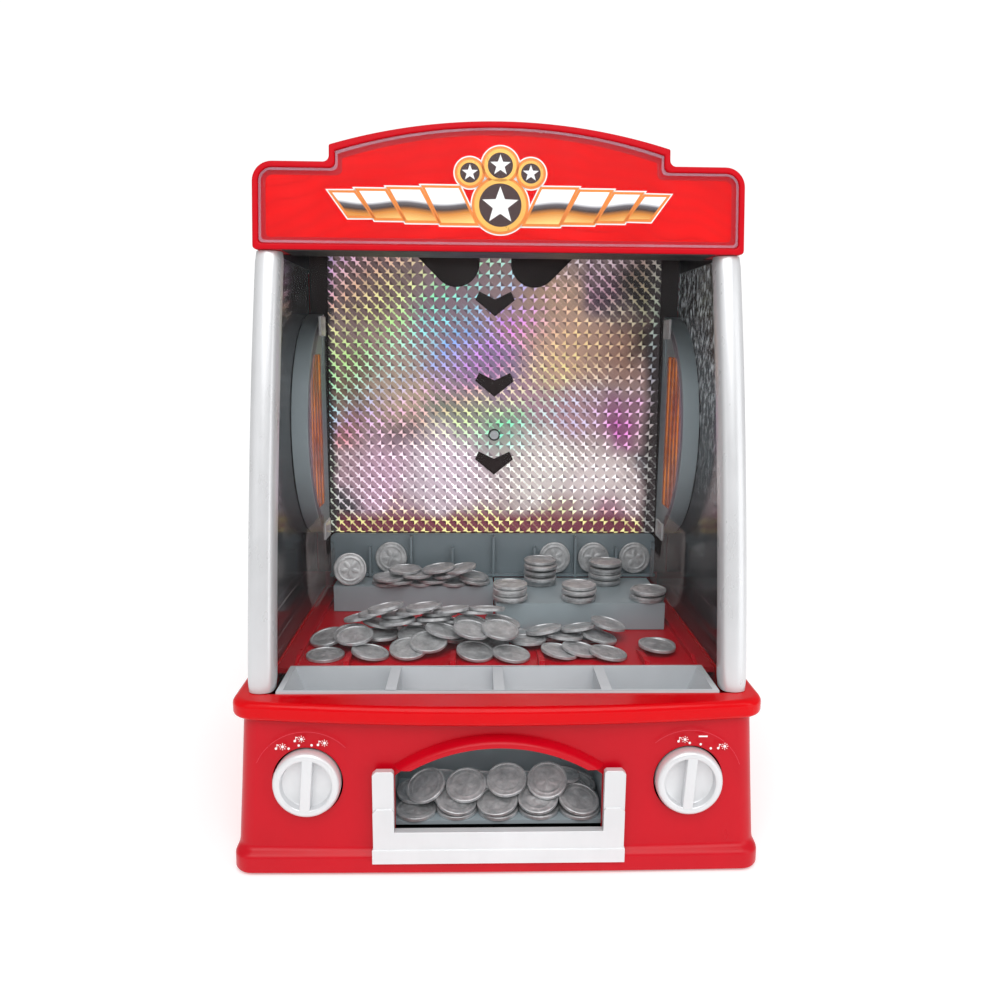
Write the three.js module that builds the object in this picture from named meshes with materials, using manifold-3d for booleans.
// A table-top coin pusher amusement machine, modelled as separate named pieces.
// Units are millimetres. X is to the right as seen from the front, Y is towards the back and Z is up.
// The origin is the middle of the footprint, on the surface that the machine stands on.
import * as THREE from "three";
import { mergeVertices } from "three/addons/utils/BufferGeometryUtils.js";
import Module from "manifold-3d";

const wasm = await Module();
wasm.setup();

// ---------- driving dimensions ----------
const GAP = 0.3; // clearance between pieces that touch
const WALL = 2.5; // moulded wall thickness

// Lower cabinet
const FOOT_HEIGHT = 2.7;
const SKIRT = { halfWidth: 131.4, front: -105, back: 107, bottom: 0.7, top: 11.5 };
const SHELL_TOP = 78.3;
const PANEL_FRONT_LOW = -101.8; // front panel just above the skirt
const PANEL_FRONT_HIGH = -98.3; // and just under the rim
const PANEL_LOW_Z = 13.7;
const PANEL_HALF = { low: 130, high: 126.6 }; // half widths at those heights
const PANEL_LEAN = Math.atan2(PANEL_FRONT_HIGH - PANEL_FRONT_LOW, SHELL_TOP - PANEL_LOW_Z);
const RIM = { halfWidth: 131.2, front: -106, back: 106, bottom: SHELL_TOP + GAP, top: 88.3, bow: 9 };
const PANEL_BOW = 4.2; // of the shell under the rim
const DECK = { halfWidth: 118, front: -88, back: 100 }; // opening in the rim

// Playing surface, shelves and gutter
const FLOOR_TOP = 88;
const FLOOR_FRONT = -53.4; // edge that the coins fall over
const LANE_RIB = 3.6; // height of the ribs at that edge
const STROKE = 36;
const SHELF = { top: 105, inner: 0.5, outer: 103.3, forward: 6, length: 57 };
const GUTTER = { halfWidth: 110.4, top: 89.3, bottom: 74, spacing: 54, divider: 5.4 };

// Payout
const MOUTH = { halfWidth: 51.2, bottom: 24.2, spring: 50.6, crown: 67.7 };
const SURROUND = { halfWidth: 61.6, front: -107, top: 55.8, bottom: 7.6, step: 15 };
const TRAY = { halfWidth: 55.5, front: -94, back: -50, floor: 23, ramp: 60, skin: 2 };

// Knobs
const KNOB = { x: 94, z: 47.2, radius: 16.6, holeRadius: 17.5, proud: 3.4, sunk: 5.4, pointerTilt: -4 };

// Cabin
const CABIN_TOP = 304.6;
const POST = { x: 118.2, halfWidth: 6.8, halfDepth: 7.6, footY: -81.6, headY: -30.2, bulge: 5 };
const WINDOW = { inner: 119, thickness: 2 };
const REAR_Y = 100.4; // inner face of the rear panel
const CABIN_HALF_WIDTH = 124.6;
const WALL_Y = 68; // face of the ribbed wall behind the shelves
const RIB_DEPTH = 6;
const RIB_WALL_TOP = 134;
const BAY_WIDTH = 27.4; // between ribs
const BOARD = { y: 71, halfLow: 109, halfHigh: 106.4, top: 316.6, screwZ: 200.4 };

// Header sign, which leans back
const HEADER = { front: -39, depth: 25, bottom: 305, halfWidth: 125, shoulder: 348.6, corner: 10 };
const HEADER_CROWN = { halfWidth: 86.5, side: 357, top: 369.6 };
const HEADER_LEAN = Math.tan(THREE.MathUtils.degToRad(8));

// Side walls
const LAMP = { y: 77.7, z: 206, radius: 71.7 }; // the half-round lamp housings
const GUARD_X = 104.8; // inner face of a clear side guard
const SLOT = { y: 60.4, z: 252, width: 5.2, height: 25 }; // coin slots through the side walls

// ---------- helpers ----------
const V = (x, y, z) => new THREE.Vector3(x, y, z);

// A closed geometry as a manifold-3d solid.
function solid(geometry) {
  const bare = geometry.index ? geometry.toNonIndexed() : geometry.clone();
  for (const name of Object.keys(bare.attributes)) if (name !== "position") bare.deleteAttribute(name);
  const merged = mergeVertices(bare, 1e-3);
  return new wasm.Manifold(
    new wasm.Mesh({
      numProp: 3,
      vertProperties: merged.attributes.position.array,
      triVerts: new Uint32Array(merged.index.array),
    }),
  );
}

function geometryOf(manifold) {
  const mesh = manifold.getMesh();
  return new THREE.BufferGeometry()
    .setAttribute("position", new THREE.BufferAttribute(new Float32Array(mesh.vertProperties), 3))
    .setIndex(new THREE.BufferAttribute(new Uint32Array(mesh.triVerts), 1));
}

const add = (first, ...rest) => rest.reduce((a, b) => a.add(b), first);
const cut = (first, ...rest) => rest.reduce((a, b) => a.subtract(b), first);
const mirrorX = (manifold) => manifold.mirror([1, 0, 0]);
const onSide = (side, manifold) => (side > 0 ? manifold : mirrorX(manifold));

function block(x0, x1, y0, y1, z0, z1) {
  const geometry = new THREE.BoxGeometry(x1 - x0, y1 - y0, z1 - z0);
  geometry.translate((x0 + x1) / 2, (y0 + y1) / 2, (z0 + z1) / 2);
  return solid(geometry);
}

// A rod or disc of the given radius between two points.
function rod(from, to, radius, sides = 24) {
  const along = to.clone().sub(from);
  const geometry = new THREE.CylinderGeometry(radius, radius, along.length(), sides);
  const turn = new THREE.Quaternion().setFromUnitVectors(V(0, 1, 0), along.clone().normalize());
  geometry.applyQuaternion(turn);
  const middle = from.clone().add(to).multiplyScalar(0.5);
  geometry.translate(middle.x, middle.y, middle.z);
  return solid(geometry);
}

const pinZ = (x, y, z0, z1, radius, sides) => rod(V(x, y, z0), V(x, y, z1), radius, sides);
const pinY = (x, z, y0, y1, radius, sides) => rod(V(x, y0, z), V(x, y1, z), radius, sides);

const shapeOf = (points) => new THREE.Shape(points.map(([a, b]) => new THREE.Vector2(a, b)));
const lathePoints = (profile) => profile.map(([radius, height]) => new THREE.Vector2(radius, height));

const PLANES = {
  X: new THREE.Matrix4().makeBasis(V(0, 1, 0), V(0, 0, 1), V(1, 0, 0)), // outline in (y, z)
  Y: new THREE.Matrix4().makeBasis(V(1, 0, 0), V(0, 0, 1), V(0, -1, 0)), // outline in (x, z)
  Z: new THREE.Matrix4(), // outline in (x, y)
};

// An outline pushed along an axis between two stations on it.
function prism(shape, axis, from, to, curveSegments = 10) {
  const geometry = new THREE.ExtrudeGeometry(shape, { depth: to - from, bevelEnabled: false, curveSegments });
  geometry.applyMatrix4(PLANES[axis]);
  if (axis === "X") geometry.translate(from, 0, 0);
  if (axis === "Y") geometry.translate(0, to, 0);
  if (axis === "Z") geometry.translate(0, 0, from);
  return solid(geometry);
}

// A closed skin over rings of equal point counts, with flat ends. The rings rise along Z.
function loft(rings, place = (geometry) => geometry) {
  const count = rings[0].length;
  const index = [];
  for (let level = 0; level + 1 < rings.length; level++)
    for (let i = 0; i < count; i++) {
      const a = level * count + i;
      const b = level * count + ((i + 1) % count);
      index.push(a, b, b + count, a, b + count, a + count);
    }
  const top = (rings.length - 1) * count;
  const flat = rings[0].map((p) => new THREE.Vector2(p.x, p.y));
  for (const [a, b, c] of THREE.ShapeUtils.triangulateShape(flat, []))
    index.push(a, c, b, top + a, top + b, top + c);
  const positions = rings.flat().flatMap((p) => [p.x, p.y, p.z]);
  const geometry = new THREE.BufferGeometry()
    .setAttribute("position", new THREE.BufferAttribute(new Float32Array(positions), 3))
    .setIndex(index);
  return solid(place(geometry));
}

// Plan of the cabinet: a rounded rectangle whose front edge is bowed.
function plan(halfWidth, front, back, z, { bow = 0, corner = 9, cornerSteps = 3, edgeSteps = 8 } = {}) {
  const points = [];
  const arc = (cx, cy, start) => {
    for (let i = 0; i <= cornerSteps; i++) {
      const angle = start + (i / cornerSteps) * (Math.PI / 2);
      points.push(V(cx + corner * Math.cos(angle), cy + corner * Math.sin(angle), z));
    }
  };
  arc(-halfWidth + corner, front + corner, Math.PI);
  for (let i = 1; i < edgeSteps; i++)
    points.push(V((-halfWidth + corner) * (1 - (2 * i) / edgeSteps), front, z));
  arc(halfWidth - corner, front + corner, -Math.PI / 2);
  arc(halfWidth - corner, back - corner, 0);
  arc(-halfWidth + corner, back - corner, Math.PI / 2);
  const middle = (front + back) / 2;
  for (const p of points) {
    const nearness = Math.max(0, middle - p.y) / (middle - front);
    p.y += bow * nearness * (p.x / halfWidth) ** 2;
  }
  return points;
}

// A spur gear about the Z axis, with straight-sided teeth and running backlash.
function gearShape(module, teeth, bore, turn = 0) {
  const pitch = (module * teeth) / 2;
  const tip = pitch + module * 0.85;
  const root = pitch - module * 1.15;
  const step = (2 * Math.PI) / teeth;
  const points = [];
  for (let i = 0; i < teeth; i++)
    for (const [radius, share] of [[root, -0.27], [tip, -0.1], [tip, 0.1], [root, 0.27]]) {
      const angle = turn + (i + share) * step;
      points.push([radius * Math.cos(angle), radius * Math.sin(angle)]);
    }
  const shape = shapeOf(points);
  if (bore) shape.holes.push(new THREE.Path().absarc(0, 0, bore, 0, 2 * Math.PI, true));
  return shape;
}

// ---------- finishes ----------
const finish = (color, roughness, metalness = 0, opacity = 1) =>
  new THREE.MeshStandardMaterial({ color, roughness, metalness, opacity, transparent: opacity < 1 });
const RED = finish(0xc4142a, 0.42);
const BRIGHT_RED = finish(0xe01020, 0.25);
const GREY = finish(0x8f979c, 0.5);
const PEARL = finish(0xe4e5e6, 0.35, 0.3);
const CLEAR = finish(0xe8eef0, 0.05, 0, 0.25);
const SMOKE = finish(0x2a2628, 0.08, 0, 0.6);
const AMBER = finish(0xd27208, 0.15, 0, 0.8);
const FOIL = finish(0xb9aeb4, 0.2, 0.8);
const BLACK = finish(0x1b1b1d, 0.6);
const NYLON = finish(0xe9e8e2, 0.45);
const STEEL = finish(0xa9adb0, 0.3, 1);
const BOARD_GREEN = finish(0x1f6b3a, 0.5);
const CELL_JACKET = finish(0x2d3238, 0.35, 0.4);

const machine = new THREE.Group();
function piece(name, manifold, material, parent = machine) {
  const mesh = new THREE.Mesh(geometryOf(manifold), material);
  mesh.name = name;
  parent.add(mesh);
}

// ---------- shared outlines ----------
// The rounded top of the payout opening, grown by a margin: its centre height, radius and reach.
function arch(margin) {
  const half = MOUTH.halfWidth + margin;
  const spring = MOUTH.spring + margin * 0.6;
  const rise = MOUTH.crown + margin - spring;
  const radius = (half ** 2 + rise ** 2) / (2 * rise);
  return { centre: spring + rise - radius, radius, reach: Math.asin(half / radius), half };
}

function mouthShape(bottom) {
  const { centre, radius, reach, half } = arch(0);
  const shape = new THREE.Shape();
  shape.moveTo(-half, bottom);
  shape.lineTo(half, bottom);
  shape.absarc(0, centre, radius, Math.PI / 2 - reach, Math.PI / 2 + reach, false);
  return shape;
}

// The header outline, drawn in by a margin on every side.
function headerShape(margin) {
  const half = HEADER.halfWidth - margin;
  const corner = HEADER.corner - Math.min(margin, 7);
  const step = HEADER_CROWN.halfWidth - margin;
  const rise = HEADER_CROWN.top - HEADER_CROWN.side;
  const radius = (step ** 2 + rise ** 2) / (2 * rise);
  const reach = Math.asin(step / radius);
  const shoulder = HEADER.shoulder - margin;
  const fillet = 3;
  const shape = new THREE.Shape();
  shape.moveTo(-half, HEADER.bottom + margin);
  shape.lineTo(half, HEADER.bottom + margin);
  shape.lineTo(half, shoulder - corner);
  shape.absarc(half - corner, shoulder - corner, corner, 0, Math.PI / 2, false);
  shape.lineTo(step + fillet, shoulder);
  shape.absarc(step + fillet, shoulder + fillet, fillet, -Math.PI / 2, -Math.PI, true);
  const centre = HEADER_CROWN.top - margin - radius;
  shape.absarc(0, centre, radius, Math.PI / 2 - reach, Math.PI / 2 + reach, false);
  shape.absarc(-step - fillet, shoulder + fillet, fillet, 0, -Math.PI / 2, true);
  shape.lineTo(-half + corner, shoulder);
  shape.absarc(-half + corner, shoulder - corner, corner, Math.PI / 2, Math.PI, false);
  return shape;
}

// The header's pieces are made upright and then sheared, so that their bottoms stay level.
function leaned(manifold) {
  const shear = new THREE.Matrix4().makeShear(0, 0, 0, 0, 0, HEADER_LEAN);
  const geometry = geometryOf(manifold);
  geometry.translate(0, 0, -HEADER.bottom);
  geometry.applyMatrix4(shear);
  geometry.translate(0, 0, HEADER.bottom);
  return solid(geometry);
}

// The middle of a post at a height: it bows forwards a little between its foot and its head.
function postY(z) {
  const share = (z - RIM.top) / (CABIN_TOP - RIM.top);
  return POST.footY + (POST.headY - POST.footY) * share - POST.bulge * 4 * share * (1 - share);
}

// Points along a line a fixed distance behind the middle of a post, from the bottom up.
function alongPost(behind, bottom, top, levels) {
  const points = [];
  for (let i = 0; i <= levels; i++) {
    const z = bottom + ((top - bottom) * i) / levels;
    points.push([postY(z) + behind, z]);
  }
  return points;
}

const panelY = (z) => PANEL_FRONT_LOW + (z - PANEL_LOW_Z) * Math.tan(PANEL_LEAN);

// ---------- lower cabinet ----------
const SPEAKER = { x: -62, z: 44, radius: 20 };

// The brow over the payout opening, thin where it leaves the panel and proud at its lip.
function brow() {
  const steps = 12;
  const ring = (margin, y) => {
    const points = [];
    for (const [grow, direction] of [[margin, 1], [0, -1]]) {
      const { centre, radius, reach } = arch(grow);
      for (let i = 0; i <= steps; i++) {
        const angle = Math.PI / 2 - direction * reach * (1 - (2 * i) / steps);
        points.push(V(radius * Math.cos(angle), centre + radius * Math.sin(angle), -y));
      }
    }
    return points;
  };
  const root = panelY(MOUTH.crown) + 1.6;
  const upright = (geometry) => geometry.rotateX(Math.PI / 2);
  const band = loft([ring(4.2, root), ring(3.7, root - 3), ring(2.2, root - 6.4)], upright);
  return cut(band, block(-SURROUND.halfWidth, SURROUND.halfWidth, -120, -90, 40, SURROUND.top + GAP));
}

function baseShell() {
  const { halfWidth, front, back, bottom, top } = SKIRT;
  const outer = loft([
    plan(halfWidth - 0.8, front + 0.7, back - 0.7, bottom, { bow: 1 }),
    plan(halfWidth, front, back, bottom + 1.4, { bow: 1 }),
    plan(halfWidth, front, back, top - 1, { bow: 1.4 }),
    plan(halfWidth - 0.8, front + 1.2, back - 1, top, { bow: 1.8 }),
    plan(PANEL_HALF.low, PANEL_FRONT_LOW - 0.2, back - 2.4, PANEL_LOW_Z, { bow: 2.6 }),
    plan(PANEL_HALF.high, PANEL_FRONT_HIGH, back - 4.5, SHELL_TOP, { bow: PANEL_BOW }),
  ]);
  const inner = loft([
    plan(halfWidth - 4, front + 6, back - 5.4, bottom - 1, { bow: 2 }),
    plan(PANEL_HALF.low - 3, PANEL_FRONT_LOW + 3, back - 5.4, PANEL_LOW_Z, { bow: 2.6 }),
    plan(PANEL_HALF.high - 2.8, PANEL_FRONT_HIGH + 3, back - 7.4, SHELL_TOP + 1, { bow: PANEL_BOW }),
  ]);
  let shell = add(cut(outer, inner), brow());
  shell = cut(shell, prism(mouthShape(MOUTH.bottom - 4), "Y", -115, -90, 16));
  for (const side of [-1, 1]) {
    const centre = V(side * KNOB.x, panelY(KNOB.z), KNOB.z);
    shell = cut(shell, pinY(centre.x, centre.z, centre.y - 8, centre.y + 12, KNOB.holeRadius, 32));
  }
  // Speaker grille in the back wall.
  for (let row = -2; row <= 2; row++) {
    const z = SPEAKER.z + row * 6;
    const half = Math.sqrt(18 ** 2 - (row * 6) ** 2);
    shell = cut(shell, block(SPEAKER.x - half, SPEAKER.x + half, 90, 110, z - 1.4, z + 1.4));
  }
  return shell;
}

// ---------- bottom plate, feet and batteries ----------
const PLATE = { bottom: 3, top: 5.4 };
const STAND = PLATE.top + 0.4; // where pieces inside stand on the bottom plate
const BATTERY = { x0: -112, x1: -46, y0: -36, y1: 55, top: 38 };
const BATTERY_MIDDLE_Y = (BATTERY.y0 + BATTERY.y1) / 2;
const COVER_SCREW_X = BATTERY.x1 - 6;
const CELL = { radius: 13.1, pitch: 28.6, halfLength: 23.5 };

function bottomPlate() {
  const edge = (z) => plan(SKIRT.halfWidth - 5.2, SKIRT.front + 8.2, SKIRT.back - 6.6, z, { bow: 2 });
  const { x0, x1, y0, y1 } = BATTERY;
  return cut(loft([edge(PLATE.bottom), edge(PLATE.top)]), block(x0, x1, y0, y1, 0, 8));
}

function batteryCover() {
  const { x0, x1, y0, y1 } = BATTERY;
  const lid = block(x0 + GAP, x1 - GAP, y0 + GAP, y1 - GAP, PLATE.bottom, PLATE.top - 0.6);
  return cut(lid, pinZ(COVER_SCREW_X, BATTERY_MIDDLE_Y, 0, 8, 2, 16));
}

function batteryBox() {
  const { x0, x1, y0, y1, top } = BATTERY;
  const outer = block(x0, x1, y0, y1, STAND, top);
  const inner = block(x0 + 2, x1 - 2, y0 + 2, y1 - 2, STAND - 1, top - 2);
  const boss = block(COVER_SCREW_X - 4, x1 - 1, BATTERY_MIDDLE_Y - 4, BATTERY_MIDDLE_Y + 4, STAND, 13);
  return cut(add(cut(outer, inner), boss), pinZ(COVER_SCREW_X, BATTERY_MIDDLE_Y, 0, 12, 1.9, 16));
}

function coverScrew() {
  const x = COVER_SCREW_X;
  const y = BATTERY_MIDDLE_Y;
  return cut(
    add(pinZ(x, y, 1.6, 2.8, 3, 16), pinZ(x, y, 2.4, 11, 1.4, 12)),
    block(x - 2, x + 2, y - 0.4, y + 0.4, 1, 2.1),
    block(x - 0.4, x + 0.4, y - 2, y + 2, 1, 2.1),
  );
}

// A C cell: its can and the raised button on one end.
function cell(row) {
  const y = BATTERY_MIDDLE_Y + row * CELL.pitch;
  const z = STAND + CELL.radius + 2;
  const x = BATTERY.x0 + 3 + CELL.halfLength + 1;
  const way = row ? 1 : -1;
  const { radius, halfLength } = CELL;
  const at = (along) => V(x + way * along, y, z);
  const can = rod(at(-halfLength), at(halfLength - 1), radius, 18);
  const button = rod(at(halfLength - 2), at(halfLength + 0.7), 3.4, 12);
  return add(can, button);
}

function foot(x, y) {
  const profile = [[0, 0], [7.2, 0], [8, 0.8], [7.4, FOOT_HEIGHT], [0, FOOT_HEIGHT]];
  const geometry = new THREE.LatheGeometry(lathePoints(profile), 16);
  geometry.rotateX(Math.PI / 2);
  geometry.translate(x, y, 0);
  return solid(geometry);
}

piece("base_shell", baseShell(), RED);
piece("bottom_plate", bottomPlate(), BLACK);
piece("battery_cover", batteryCover(), BLACK);
piece("battery_cover_screw", coverScrew(), STEEL);
piece("battery_box", batteryBox(), BLACK);
for (const row of [-1, 0, 1]) piece(`battery_${row + 2}`, cell(row), CELL_JACKET);
for (const [name, x, y] of [["front_left", -104, -80], ["front_right", 104, -80], ["rear_left", -104, 82],
  ["rear_right", 104, 82]])
  piece(`foot_${name}`, foot(x, y), BLACK);

// ---------- rim, floor and gutter ----------
function deckRim() {
  const { halfWidth, front, back, bottom, top, bow } = RIM;
  const ring = (inset, z) => plan(halfWidth - inset, front + inset, back - inset, z, { bow, corner: 10 });
  const slab = loft([
    ring(2.4, bottom),
    ring(0.7, bottom + 0.8),
    ring(0, bottom + 2.6),
    ring(0, top - 3),
    ring(0.7, top - 1.2),
    ring(2.6, top),
  ]);
  return cut(slab, block(-DECK.halfWidth, DECK.halfWidth, DECK.front, DECK.back, bottom - 1, top + 1));
}

// A rack's leg rises through the floor under its shelf. Here the shelf is forward.
const LEG = { inner: 12.4, outer: 17, y: 48, half: 4 };

function playfield() {
  const half = DECK.halfWidth - GAP;
  let floor = block(-half, half, FLOOR_FRONT, DECK.back - GAP, FLOOR_TOP - 3, FLOOR_TOP);
  // Low lane ribs at the edge that the coins fall over.
  const laneRib = shapeOf([
    [FLOOR_FRONT, FLOOR_TOP - 0.5],
    [FLOOR_FRONT + 26, FLOOR_TOP - 0.5],
    [FLOOR_FRONT + 22, FLOOR_TOP + 1.6],
    [FLOOR_FRONT + 6, FLOOR_TOP + LANE_RIB],
    [FLOOR_FRONT, FLOOR_TOP + LANE_RIB],
  ]);
  for (const x of [-81, -24, 24, 81]) floor = add(floor, prism(laneRib, "X", x - 1.5, x + 1.5));
  // A kerb outside each shelf, and the slot for each rack's leg.
  const kerb = shapeOf([
    [FLOOR_FRONT + 1, FLOOR_TOP - 0.5],
    [95, FLOOR_TOP - 0.5],
    [95, FLOOR_TOP + 3],
    [FLOOR_FRONT + 12, FLOOR_TOP + 3],
  ]);
  const legSlot = block(
    LEG.inner - 1,
    LEG.outer + 1,
    LEG.y - LEG.half - 2,
    LEG.y + LEG.half + STROKE + 2,
    FLOOR_TOP - 5,
    FLOOR_TOP + 5,
  );
  for (const side of [-1, 1])
    floor = cut(add(floor, onSide(side, prism(kerb, "X", 107.4, 109.4))), onSide(side, legSlot));
  return floor;
}

function gutter() {
  const { halfWidth, top, bottom, spacing, divider } = GUTTER;
  const front = DECK.front + GAP;
  const back = FLOOR_FRONT - GAP;
  let frame = block(-halfWidth, halfWidth, front, back, bottom, top);
  const cheek = 3;
  const end = halfWidth - cheek;
  const bays = [[-end, -spacing - divider / 2], [-spacing + divider / 2, -divider / 2]];
  for (const [x0, x1] of bays)
    for (const side of [-1, 1]) {
      const bay = block(x0, x1, front + 2, back - 1.6, bottom - 1, top + 1);
      frame = cut(frame, side < 0 ? bay : mirrorX(bay));
    }
  // A sloped cheek at each end.
  const slope = shapeOf([[end - 5.5, bottom], [end + 1, bottom], [end + 1, top - 0.4], [end, top - 0.4]]);
  for (const side of [-1, 1]) frame = add(frame, onSide(side, prism(slope, "Y", front + 1, back - 1)));
  return frame;
}

piece("deck_rim", deckRim(), BRIGHT_RED);
piece("playfield", playfield(), RED);
piece("gutter", gutter(), GREY);

// ---------- payout ----------
// Sloped wings under the gutter lead the coins down into the tray.
function payoutTray() {
  const { halfWidth, front, back, floor, ramp, skin } = TRAY;
  const wing = GUTTER.halfWidth - 1;
  const top = GUTTER.bottom - 0.6;
  const below = [
    [-wing, top - skin],
    [-halfWidth, ramp - skin],
    [-halfWidth, floor - skin],
    [halfWidth, floor - skin],
    [halfWidth, ramp - skin],
    [wing, top - skin],
  ];
  const inside = [
    [halfWidth - skin, ramp],
    [halfWidth - skin, floor],
    [-halfWidth + skin, floor],
    [-halfWidth + skin, ramp],
  ];
  const channel = shapeOf([[-wing, top], ...below, [wing, top], ...inside]);
  const rearWall = shapeOf([[-wing, top], ...below, [wing, top]]);
  const lipTop = ramp - skin;
  const nose = shapeOf([
    [-halfWidth, lipTop],
    [-halfWidth, floor - skin],
    [halfWidth, floor - skin],
    [halfWidth, lipTop],
    [halfWidth - skin, lipTop],
    [halfWidth - skin, floor],
    [-halfWidth + skin, floor],
    [-halfWidth + skin, lipTop],
  ]);
  return add(
    prism(channel, "Y", DECK.front + 1.5, back),
    prism(rearWall, "Y", back - skin, back),
    prism(nose, "Y", front, DECK.front + 2),
  );
}

// The surround below and beside the payout opening, which keeps the coins in.
function traySurround() {
  const { halfWidth, front, top, bottom, step } = SURROUND;
  const face = SKIRT.front - 0.4; // just ahead of the skirt
  const uShape = (low, high, spread = 0) =>
    shapeOf([
      [-halfWidth - spread, low],
      [halfWidth + spread, low],
      [halfWidth + spread, high],
      [MOUTH.halfWidth, high],
      [MOUTH.halfWidth, MOUTH.bottom],
      [-MOUTH.halfWidth, MOUTH.bottom],
      [-MOUTH.halfWidth, high],
      [-halfWidth - spread, high],
    ]);
  return add(
    prism(uShape(14, top), "Y", front + 1, face + 0.6),
    prism(uShape(14, 36.4), "Y", front + 0.5, face + 0.6),
    prism(uShape(14, top), "Y", face, panelY(34) - 1.4),
    block(-halfWidth - 0.5, halfWidth + 0.5, front, face, bottom, step),
  );
}

piece("payout_tray", payoutTray(), GREY);
piece("tray_surround", traySurround(), PEARL);

// ---------- knobs and their switches ----------
// Both knobs turn about the normal of the leaning front panel. In these groups that is +Z.
const KNOB_AXIS = V(0, -Math.cos(PANEL_LEAN), Math.sin(PANEL_LEAN));

function knob() {
  const { radius, proud, sunk, pointerTilt } = KNOB;
  const side = [[radius - 0.2, -sunk], [radius, -2.4], [radius - 0.4, proud - 1.2], [radius - 1.4, proud]];
  const profile = [[0, -sunk], ...side, [0, proud]];
  const geometry = new THREE.LatheGeometry(lathePoints(profile), 32);
  geometry.rotateX(Math.PI / 2);
  // The rim and the grip bar stand up round two sunk pockets.
  const pocket = pinZ(0, 0, proud - 4.4, proud + 1, radius - 4, 28);
  const bar = block(-2.3, 2.3, -radius, radius, proud - 6, proud + 2);
  const cap = cut(solid(geometry), cut(pocket, bar));
  return add(cap, pinZ(0, 0, -12, 1 - sunk, 3, 16)).rotate([0, 0, pointerTilt]);
}

function rotarySwitch() {
  const body = add(pinZ(0, 0, -13.5, -6.5, 11, 20), block(-3, 3, -15, 0, -13.5, -8));
  return cut(body, pinZ(0, 0, -20, 0, 3.4, 16));
}

for (const [side, name] of [[-1, "left"], [1, "right"]]) {
  const group = new THREE.Group();
  group.position.set(side * KNOB.x, panelY(KNOB.z), KNOB.z);
  group.quaternion.setFromUnitVectors(V(0, 0, 1), KNOB_AXIS);
  machine.add(group);
  piece(`knob_${name}`, knob(), PEARL, group);
  piece(`switch_${name}`, rotarySwitch(), BLACK, group);
}

// ---------- cabin ----------
function post() {
  const sides = 16;
  const squared = (value) => Math.sign(value) * Math.abs(value) ** 0.72;
  const rings = alongPost(0, RIM.top + GAP, CABIN_TOP, 8).map(([y, z]) =>
    Array.from({ length: sides }, (_, k) => {
      const angle = (2 * Math.PI * k) / sides;
      const x = POST.x + POST.halfWidth * squared(Math.cos(angle));
      return V(x, y + POST.halfDepth * squared(Math.sin(angle)), z);
    }),
  );
  return loft(rings);
}

function frontWindow() {
  const bottom = RIM.top + GAP + 1;
  const top = CABIN_TOP - 0.7;
  const outline = shapeOf([...alongPost(-1, bottom, top, 6), ...alongPost(0.6, bottom, top, 6).reverse()]);
  const half = POST.x - POST.halfWidth - 0.4;
  return prism(outline, "X", -half, half);
}

function slotHole(x0, x1, grow = 0) {
  const { y, z, width, height } = SLOT;
  return block(
    x0,
    x1,
    y - width / 2 - grow,
    y + width / 2 + grow,
    z - height / 2 - grow,
    z + height / 2 + grow,
  );
}

function sideWindow() {
  const back = REAR_Y - 0.5;
  const bottom = RIM.top + GAP;
  const front = alongPost(POST.halfDepth + 0.5, bottom, CABIN_TOP, 6);
  const outline = shapeOf([...front.reverse(), [back, bottom], [back, CABIN_TOP]].reverse());
  return cut(prism(outline, "X", WINDOW.inner, WINDOW.inner + WINDOW.thickness), slotHole(110, 130));
}

function rearPanel() {
  const bottom = RIM.top + GAP;
  let panel = block(-CABIN_HALF_WIDTH, CABIN_HALF_WIDTH, REAR_Y, REAR_Y + WALL, bottom, CABIN_TOP);
  // A return flange outside each side window.
  const flange = WINDOW.inner + WINDOW.thickness + GAP;
  for (const side of [-1, 1])
    panel = add(
      panel,
      onSide(side, block(flange, CABIN_HALF_WIDTH, REAR_Y - 9, REAR_Y + 1, bottom, CABIN_TOP)),
    );
  // Vent slots high on the back.
  for (let row = 0; row < 4; row++) {
    const z = 262 + row * 8;
    panel = cut(panel, block(-40, 40, REAR_Y - 5, REAR_Y + 8, z, z + 2.6));
  }
  return panel;
}

const ROOF = { bottom: CABIN_TOP + 0.4, top: CABIN_TOP + 25 };

function roofCover() {
  const front = HEADER.front + HEADER.depth + (ROOF.top - HEADER.bottom) * HEADER_LEAN + 0.6;
  const back = REAR_Y + 3.4;
  const edge = { corner: 4, cornerSteps: 2, edgeSteps: 1 };
  const outer = loft([
    plan(CABIN_HALF_WIDTH, front, back, ROOF.bottom, edge),
    plan(CABIN_HALF_WIDTH, front, back, ROOF.top - 3, edge),
    plan(CABIN_HALF_WIDTH - 2, front, back - 2, ROOF.top, edge),
  ]);
  return cut(outer, block(-122, 122, front + WALL, back - WALL, ROOF.bottom - 1, ROOF.top - WALL));
}

for (const [side, name] of [[1, "right"], [-1, "left"]]) {
  piece(`post_${name}`, onSide(side, post()), PEARL);
  piece(`side_window_${name}`, onSide(side, sideWindow()), SMOKE);
}
piece("front_window", frontWindow(), CLEAR);
piece("rear_panel", rearPanel(), RED);
piece("roof_cover", roofCover(), RED);

// ---------- header sign ----------
const CARD_Y = HEADER.front + 2.6;

function headerFrame() {
  const back = HEADER.front + HEADER.depth;
  return cut(
    prism(headerShape(0), "Y", HEADER.front, back, 8),
    prism(headerShape(3), "Y", HEADER.front - 1, back - WALL, 8),
  );
}

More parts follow.
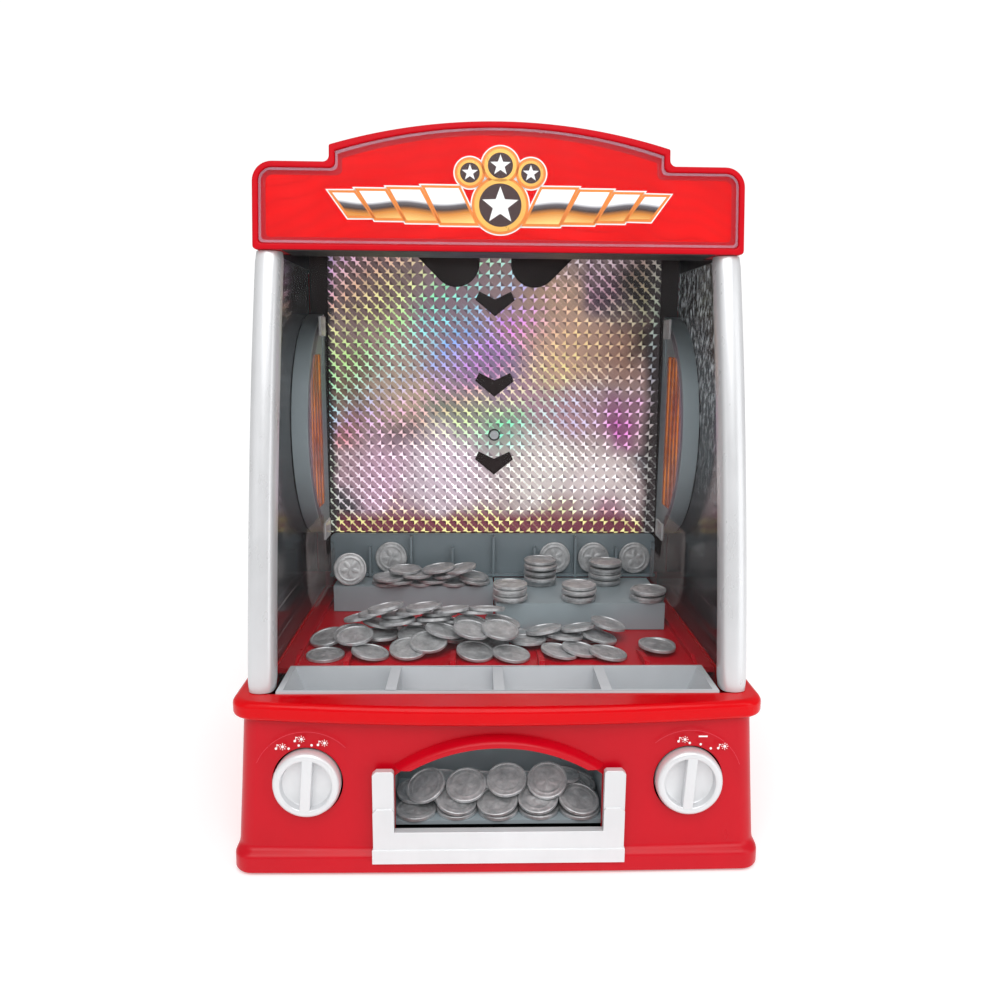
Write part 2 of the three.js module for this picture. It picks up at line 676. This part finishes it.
function headerLens() {
  const outer = prism(headerShape(3 + GAP), "Y", HEADER.front + 0.4, CARD_Y - GAP, 8);
  let lens = cut(outer, prism(headerShape(6), "Y", HEADER.front + 1.6, CARD_Y, 8));
  // Snap tabs behind the edge, above and below.
  const low = HEADER.bottom + 3.6;
  const shoulder = HEADER.shoulder - 6;
  const crown = HEADER_CROWN.top - 6.2;
  const tabs = [[-95, shoulder], [0, crown], [95, shoulder], [-88, low], [0, low], [88, low]];
  for (const [x, z] of tabs)
    lens = add(lens, block(x - 7, x + 7, HEADER.front + 1, HEADER.front + 8, z, z + 2));
  return lens;
}

piece("header_frame", leaned(headerFrame()), RED);
piece("header_card", leaned(prism(headerShape(6.4), "Y", CARD_Y, CARD_Y + 0.8, 8)), BRIGHT_RED);
piece("header_lens", leaned(headerLens()), CLEAR);

// ---------- back board and ribbed wall ----------
const BOARD_BOTTOM = RIB_WALL_TOP + GAP;

function backBoard() {
  const { y, halfLow, halfHigh, top, screwZ } = BOARD;
  const outline = [[-halfLow, BOARD_BOTTOM], [halfLow, BOARD_BOTTOM], [halfHigh, top], [-halfHigh, top]];
  let board = prism(shapeOf(outline), "Y", y, y + 1.6);
  // Three arrow heads one below another, and two round-bottomed notches at the top.
  for (let i = 0; i < 3; i++) {
    const z = 287.1 - i * 51.6;
    const lower = [[-12.7, z], [0, z - 10.3], [12.7, z]];
    const arrow = shapeOf([...lower, [10.2, z + 5.4], [0, z + 0.5], [-10.2, z + 5.4]]);
    board = cut(board, prism(arrow, "Y", y - 1, y + 4));
  }
  const notch = new THREE.Shape();
  notch.moveTo(56.4, 320.2);
  notch.lineTo(10, 320.2);
  notch.absarc(25, 310, 15, Math.PI, 1.75 * Math.PI, false);
  for (const side of [-1, 1]) board = cut(board, onSide(side, prism(notch, "Y", y - 1, y + 4, 8)));
  return cut(board, pinY(0, screwZ, y - 1, y + 4, 1.6, 12));
}

// A dark sheet behind the board and the ribbed wall, which shows through the openings and beside them.
function backingSheet() {
  const { y, top, screwZ } = BOARD;
  const half = WINDOW.inner - 0.5;
  const sheet = block(-half, half, y + 2, y + 3.2, SHELF.top + 1.4, top);
  return cut(sheet, pinY(0, screwZ, y, y + 6, 1.9, 12));
}

function boardScrew() {
  const { y, screwZ } = BOARD;
  return cut(
    add(pinY(0, screwZ, y - 1.6, y - 0.2, 2.8, 16), pinY(0, screwZ, y - 1, y + 9, 1.3, 12)),
    block(-2, 2, y - 3, y - 1, screwZ - 0.4, screwZ + 0.4),
    block(-0.4, 0.4, y - 3, y - 1, screwZ - 2, screwZ + 2),
  );
}

function ribbedWall() {
  const bottom = SHELF.top + 0.8;
  const half = BAY_WIDTH * 4 - 0.6;
  const corner = 4;
  const outline = new THREE.Shape();
  outline.moveTo(-half, bottom);
  outline.lineTo(half, bottom);
  outline.absarc(half - corner, RIB_WALL_TOP - corner, corner, 0, Math.PI / 2, false);
  outline.absarc(-half + corner, RIB_WALL_TOP - corner, corner, Math.PI / 2, Math.PI, false);
  const ledge = block(-half, half, WALL_Y - 5, WALL_Y + 1, bottom, bottom + 1.6);
  let wall = add(prism(outline, "Y", WALL_Y, WALL_Y + WALL, 4), ledge);
  // Ribs between the bays, tall and short in turn.
  for (let i = -4; i <= 4; i++) {
    const atEnd = Math.abs(i) === 4;
    const x = i * BAY_WIDTH - (atEnd ? Math.sign(i) * 2.4 : 0);
    const tall = RIB_WALL_TOP - (atEnd ? corner + 1 : 1);
    wall = add(wall, block(x - 0.7, x + 0.7, WALL_Y - RIB_DEPTH, WALL_Y + 1, bottom, i % 2 ? 125.6 : tall));
  }
  return wall;
}

piece("back_board", backBoard(), FOIL);
piece("backing_sheet", backingSheet(), BLACK);
piece("board_screw", boardScrew(), STEEL);
piece("ribbed_wall", ribbedWall(), GREY);

// ---------- lamp housings and covers, side guards and coin slots ----------
const HOUSING = { inner: 109.2, outer: WINDOW.inner - GAP, skin: 2 };

// The front part of a disc on a side wall, cut off by a plane.
function discFront(radius, flatY) {
  const reach = Math.acos((LAMP.y - flatY) / radius);
  const shape = new THREE.Shape();
  shape.absarc(LAMP.y, LAMP.z, radius, Math.PI - reach, Math.PI + reach, false);
  return shape;
}

// The lamp opening: round at the front, straight at the back and cut square at both ends.
const LENS = { inset: 6.7, back: 53, low: -48, high: 46 };
function lensPlate(grow, x0, x1) {
  const disc = prism(discFront(LAMP.radius - LENS.inset + grow, WALL_Y), "X", x0, x1, 20);
  const { back, low, high } = LENS;
  return disc.intersect(block(x0, x1, 0, back + grow, LAMP.z + low - grow, LAMP.z + high + grow));
}

function lampHousing() {
  const { inner, outer, skin } = HOUSING;
  const body = prism(discFront(LAMP.radius, WALL_Y), "X", inner, outer, 20);
  const hollow = prism(discFront(LAMP.radius - WALL, WALL_Y - WALL), "X", inner + skin, outer + 1, 20);
  const slotTube = slotHole(inner + 1, outer, 2);
  return cut(add(cut(body, hollow), slotTube), slotHole(100, 130), lensPlate(0.3, 105, inner + skin + 0.1));
}

// The strip of lights behind a lens.
function lampBoard() {
  const x = HOUSING.inner + 5.4;
  let board = block(x, x + 1.4, 24, 46, LAMP.z - 36, LAMP.z + 36);
  for (let i = -2; i <= 2; i++) {
    const z = LAMP.z + i * 14;
    board = add(board, block(x - 1.6, x + 0.5, 32, 36, z - 2, z + 2));
  }
  return board;
}

// The clear cover over a housing's inner face, with a snap tab above and below.
const COVER_X = HOUSING.inner - 1.6;
function lampCover() {
  const face = prism(discFront(LAMP.radius - 0.4, WALL_Y - 3), "X", COVER_X, HOUSING.inner - GAP, 20);
  const reach = Math.sqrt(LAMP.radius ** 2 - (LAMP.y - 50) ** 2);
  const top = block(COVER_X - 1.6, COVER_X + 1, 44, 56, LAMP.z + reach - 9, LAMP.z + reach + 3);
  const bottom = block(COVER_X - 1.6, COVER_X + 1, 40, 54, LAMP.z - reach - 3, LAMP.z - reach + 8);
  return cut(add(face, top, bottom), slotHole(100, 112, 0.4));
}

// A clear plate that keeps the coins on a shelf, rounded at its lower front corner.
function sideGuard() {
  const front = -23;
  const bottom = SHELF.top + 0.5;
  const top = 156;
  const corner = 24;
  const back = WALL_Y - RIB_DEPTH - 0.6;
  const outline = new THREE.Shape();
  outline.moveTo(back, bottom);
  outline.lineTo(back, LAMP.z - 80);
  outline.lineTo(32, LAMP.z - 80);
  outline.lineTo(24, top);
  outline.lineTo(front + 4, top);
  outline.lineTo(front, top - 4);
  outline.absarc(front + corner, bottom + corner, corner, Math.PI, 1.5 * Math.PI, false);
  return prism(outline, "X", GUARD_X, GUARD_X + 1.8, 8);
}

function coinSlotPlate() {
  const { y, z } = SLOT;
  const x = WINDOW.inner + WINDOW.thickness + GAP;
  return cut(block(x, x + 3.4, y - 9, y + 9, z - 19, z + 19), slotHole(110, 130));
}

for (const [side, name] of [[1, "right"], [-1, "left"]]) {
  piece(`lamp_housing_${name}`, onSide(side, lampHousing()), GREY);
  piece(`lamp_lens_${name}`, onSide(side, lensPlate(0, HOUSING.inner, HOUSING.inner + 1.8)), AMBER);
  piece(`lamp_cover_${name}`, onSide(side, lampCover()), CLEAR);
  piece(`lamp_board_${name}`, onSide(side, lampBoard()), BOARD_GREEN);
  piece(`side_guard_${name}`, onSide(side, sideGuard()), CLEAR);
  piece(`coin_slot_${name}`, onSide(side, coinSlotPlate()), PEARL);
}

// ---------- shelves and their drive ----------
// The right shelf is modelled pushed forward; the left one is drawn back by a whole stroke.
function shelf() {
  const { top, inner, outer, forward, length } = SHELF;
  const back = forward + length;
  return cut(
    block(inner, outer, forward, back, FLOOR_TOP + 0.4, top),
    block(inner + WALL, outer - WALL, forward + WALL, back + 1, FLOOR_TOP - 1, top - WALL),
  );
}

const RACK = { module: 1.5, teeth: 12, y: 55, bottom: 72.6, top: 79.6, overhang: 6 };
const RACK_PITCH = Math.PI * RACK.module;
const PINION_RADIUS = (RACK.module * RACK.teeth) / 2;
const CRANK = { x: 45, yokeY: 26, bottom: 54, top: 59, pinRadius: 2.4 };
const CRANK_Y = CRANK.yokeY + STROKE / 2;
const YOKE = { bottom: 64.6, top: 69, half: 6, slotHalf: 3.2 };

// The right rack with its shelf forward. It reaches past the pinion by a stroke and an overhang.
function rackBar() {
  const back = RACK.y + RACK.overhang;
  const front = RACK.y - STROKE - RACK.overhang;
  let bar = block(PINION_RADIUS + 1.7, LEG.outer, front, back, RACK.bottom, RACK.top);
  for (let y = RACK.y + RACK_PITCH / 2; y > front + 2; y -= RACK_PITCH) {
    const tooth = shapeOf([
      [PINION_RADIUS + 2, y - 1.3],
      [PINION_RADIUS + 2, y + 1.3],
      [PINION_RADIUS - 1.1, y + 0.5],
      [PINION_RADIUS - 1.1, y - 0.5],
    ]);
    bar = add(bar, prism(tooth, "Z", RACK.bottom, RACK.top));
  }
  return bar;
}

const rackLeg = (y) =>
  block(LEG.inner, LEG.outer, y - LEG.half, y + LEG.half, RACK.top - 1, SHELF.top - WALL - GAP);

// The slotted cross-bar that the crank pin drives, and its link up to the right rack.
function yoke() {
  const y = CRANK.yokeY;
  const reach = STROKE / 2 + CRANK.pinRadius + 1;
  const slot = block(CRANK.x - reach, CRANK.x + reach, y - YOKE.slotHalf, y + YOKE.slotHalf, 60, 75);
  const bar = block(LEG.inner, CRANK.x + reach + 3.5, y - YOKE.half, y + YOKE.half, YOKE.bottom, YOKE.top);
  const link = block(LEG.inner, LEG.outer, y - YOKE.half, y + YOKE.half, YOKE.bottom + 1, RACK.bottom + 1);
  return add(cut(bar, slot), link);
}

const rackLeft = rackBar().rotate([0, 0, 180]).translate([0, 2 * RACK.y, 0]);
piece("shelf_right", shelf(), GREY);
piece("shelf_left", mirrorX(shelf()).translate([0, STROKE, 0]), GREY);
piece("rack_right", add(rackBar(), rackLeg(LEG.y), yoke()), NYLON);
piece("rack_left", add(rackLeft, mirrorX(rackLeg(LEG.y + STROKE))), NYLON);

const pinionShape = gearShape(RACK.module, RACK.teeth, 2.5);
const rackPinion = prism(pinionShape, "Z", RACK.bottom + 0.4, RACK.top - 0.4, 5);
piece("rack_pinion", rackPinion.translate([0, RACK.y, 0]), NYLON);

// Gear train: motor pinion, reduction gear and crank gear.
const TRAIN = { module: 0.8, pinion: 10, gear: 44, crank: 54 };
const SHAFT = { radius: 2, bore: 2.4, shoulder: 4 };
const MESH_EXTRA = 0.12; // added to each centre distance so that the teeth clear each other
const HALF_TOOTH = Math.PI / TRAIN.pinion;
const REDUCTION_Y = CRANK_Y + ((TRAIN.crank + TRAIN.pinion) * TRAIN.module) / 2 + MESH_EXTRA;
const MOTOR_X = CRANK.x + ((TRAIN.gear + TRAIN.pinion) * TRAIN.module) / 2 + MESH_EXTRA;
const WHEEL = { bottom: 47.6, top: 51.6 };

function crankGear() {
  const gear = prism(gearShape(TRAIN.module, TRAIN.crank, SHAFT.bore), "Z", CRANK.bottom, CRANK.top, 5);
  const pin = pinZ(0, -STROKE / 2, CRANK.top - 1, YOKE.bottom - 0.4, CRANK.pinRadius, 14);
  return add(gear, pin).translate([CRANK.x, CRANK_Y, 0]);
}

function reductionGear() {
  const { bottom, top } = WHEEL;
  const wheel = prism(gearShape(TRAIN.module, TRAIN.gear, SHAFT.bore), "Z", bottom, top, 5);
  const shape = gearShape(TRAIN.module, TRAIN.pinion, SHAFT.bore, HALF_TOOTH);
  return add(wheel, prism(shape, "Z", top - 0.2, CRANK.top + 0.6, 5)).translate([CRANK.x, REDUCTION_Y, 0]);
}

function motorPinion() {
  const shape = gearShape(TRAIN.module, TRAIN.pinion, 0, HALF_TOOTH);
  const gear = prism(shape, "Z", WHEEL.bottom - 0.2, WHEEL.top + 0.4);
  return add(gear, pinZ(0, 0, 44, 48, 1, 12)).translate([MOTOR_X, REDUCTION_Y, 0]);
}

function motorCan() {
  const can = pinZ(0, 0, 14, 43, 10.2, 20);
  const nose = pinZ(0, 0, 42, 45.6, 4.6, 14);
  return cut(add(can, nose), pinZ(0, 0, 42.5, 50, 1.4, 12)).translate([MOTOR_X, REDUCTION_Y, 0]);
}

// The plate that carries the motor and the gear shafts, standing on four legs.
function gearboxPlate() {
  const { radius, shoulder } = SHAFT;
  const edge = { x0: -12, x1: 84, y0: 16, y1: 92 };
  const inset = 4;
  let plate = block(edge.x0, edge.x1, edge.y0, edge.y1, 43.4, 46);
  for (const x of [edge.x0 + inset, edge.x1 - inset])
    for (const y of [edge.y0 + inset, edge.y1 - inset])
      plate = add(plate, block(x - inset, x + inset, y - inset, y + inset, STAND, 44));
  const shafts = [
    [CRANK.x, CRANK_Y, CRANK.bottom, CRANK.top + 1.4],
    [CRANK.x, REDUCTION_Y, WHEEL.bottom, CRANK.top + 2],
    [0, RACK.y, RACK.bottom, RACK.top + 2.4],
  ];
  for (const [x, y, seat, top] of shafts)
    plate = add(plate, pinZ(x, y, 45, top, radius, 14), pinZ(x, y, 45, seat - GAP, shoulder, 14));
  return cut(plate, pinZ(MOTOR_X, REDUCTION_Y, 40, 50, 5, 18));
}

piece("crank_gear", crankGear(), NYLON);
piece("reduction_gear", reductionGear(), NYLON);
piece("motor_pinion", motorPinion(), STEEL);
piece("motor", motorCan(), STEEL);
piece("gearbox_plate", gearboxPlate(), BLACK);

// ---------- electronics ----------
const CIRCUIT = { x0: -44, x1: 4, y0: -42, y1: -4, bottom: 20 };

function circuitBoard() {
  const { x0, x1, y0, y1, bottom } = CIRCUIT;
  let board = block(x0, x1, y0, y1, bottom, bottom + 1.6);
  for (const x of [x0 + 3, x1 - 3])
    for (const y of [y0 + 3, y1 - 3])
      board = add(board, block(x - 2, x + 2, y - 2, y + 2, STAND, bottom + 0.5));
  return add(
    board,
    block(-30, -18, -30, -18, bottom + 1, bottom + 4),
    block(-40, -36, -36, -12, bottom + 1, bottom + 6),
    block(-10, -4, -36, -24, bottom + 1, bottom + 9),
    pinZ(-12, -14, bottom + 1, bottom + 11, 4, 12),
  );
}

function speaker() {
  const { x, z, radius } = SPEAKER;
  const back = SKIRT.back - 8.8;
  const basket = cut(pinY(x, z, back - 2, back, radius, 24), pinY(x, z, back - 1, back + 2, radius - 3, 20));
  return add(basket, pinY(x, z, back - 10, back - 1.4, 9, 16));
}

piece("circuit_board", circuitBoard(), BOARD_GREEN);
piece("speaker", speaker(), BLACK);

export default machine;
